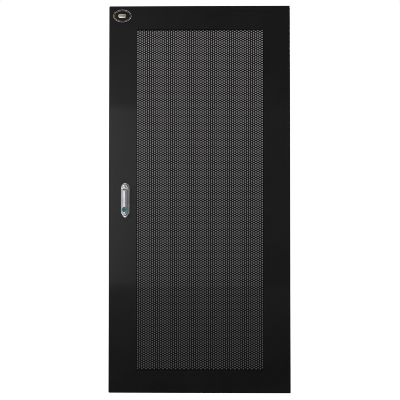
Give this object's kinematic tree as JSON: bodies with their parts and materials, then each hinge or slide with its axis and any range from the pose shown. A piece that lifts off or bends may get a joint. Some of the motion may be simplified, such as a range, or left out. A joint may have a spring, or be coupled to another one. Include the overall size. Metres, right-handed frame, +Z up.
{
  "type": "perforated rack door",
  "caption": "Perforated steel door for an equipment rack, with folded edges, a swing handle that drives two locking rods, and lift-off pin hinges.",
  "frame": {"origin": "on the hinge axis, on the bearing face of the lower hinge washer", "axes": "+Z up along the hinge axis; the door's front faces -Y; the lock side is towards -X"},
  "size_m": [0.6, 0.053, 1.28],
  "materials": {
    "black_paint": "satin black powder coat",
    "black_mesh": "satin black powder coat",
    "black_frame": "satin black powder coat",
    "zinc_steel": "zinc plated",
    "spring_steel": "spring steel",
    "copper_steel": "copper plated",
    "satin_chrome": "satin chrome",
    "teal_cylinder": "dark teal lacquer",
    "white_nylon": "moulded",
    "black_nylon": "moulded",
    "badge_metal": "lacquered",
    "rubber": "matt"
  },
  "bodies": {
    "door_leaf": {"door_skin": "black_paint", "perforated_sheet": "black_mesh", "lock_side_channel": "black_frame", "hinge_side_channel": "black_frame", "top_rail": "black_frame", "bottom_rail": "black_frame", "upper_hinge_bracket": "black_frame", "lower_hinge_bracket": "black_frame", "hinge_spring": "spring_steel", "lower_hinge_pin": "zinc_steel", "hinge_washer": "white_nylon", "handle_base": "satin_chrome", "case_plate": "zinc_steel", "gear_case": "black_nylon", "base_screw": "zinc_steel", "key_cylinder": "teal_cylinder", "cylinder_nut": "zinc_steel", "upper_end_guide": "black_nylon", "upper_mid_guide": "black_nylon", "lower_mid_guide": "black_nylon", "lower_end_guide": "black_nylon", "weld_studs": "copper_steel", "stud_nuts": "zinc_steel", "earth_stud": "copper_steel", "earth_washer": "zinc_steel", "earth_nut": "zinc_steel", "badge_plate": "badge_metal", "rubber_buffers": "rubber"},
    "spindle_set": {"spindle": "satin_chrome", "lever_pin": "zinc_steel", "pinion": "zinc_steel", "spindle_washer": "zinc_steel", "spindle_screw": "zinc_steel"},
    "lever": {"swing_lever": "satin_chrome"},
    "key": {"key_plug": "teal_cylinder", "lock_cam": "zinc_steel", "cam_screw": "zinc_steel"},
    "upper_rod_set": {"upper_rod": "zinc_steel"},
    "lower_rod_set": {"lower_rod": "zinc_steel", "rod_stop": "zinc_steel"},
    "sprung_pin": {"upper_hinge_pin": "zinc_steel", "hinge_pin_clip": "spring_steel"}
  },
  "joints": [
    {"name": "lock_turn", "type": "hinge", "parent": "door_leaf", "child": "spindle_set", "pos_m": [-0.531, -0.014, 0.636], "axis": [0, -1, 0], "range_deg": [0, 90]},
    {"name": "lever_swing", "type": "hinge", "parent": "spindle_set", "child": "lever", "pos_m": [-0.531, -0.028, 0.635], "axis": [-1, 0, 0], "range_deg": [0, 35]},
    {"name": "key_turn", "type": "hinge", "parent": "door_leaf", "child": "key", "pos_m": [-0.531, -0.014, 0.5637], "axis": [0, 1, 0], "range_deg": [0, 90]},
    {"name": "upper_rod_slide", "type": "slide", "parent": "door_leaf", "child": "upper_rod_set", "axis": [0, 0, -1], "range_m": [0, 0.01886]},
    {"name": "lower_rod_slide", "type": "slide", "parent": "door_leaf", "child": "lower_rod_set", "axis": [0, 0, 1], "range_m": [0, 0.01885]},
    {"name": "hinge_pin_pull", "type": "slide", "parent": "door_leaf", "child": "sprung_pin", "axis": [0, 0, -1], "range_m": [0, 0.012], "stiffness_N_per_m": 600, "springref_m": -0.02, "deforming": ["hinge_spring"]}
  ],
  "couplings": [
    {"joint": "lock_turn", "follows": "lower_rod_slide", "rad_per_m": 83.333},
    {"joint": "upper_rod_slide", "follows": "lower_rod_slide", "ratio": 1}
  ]
}
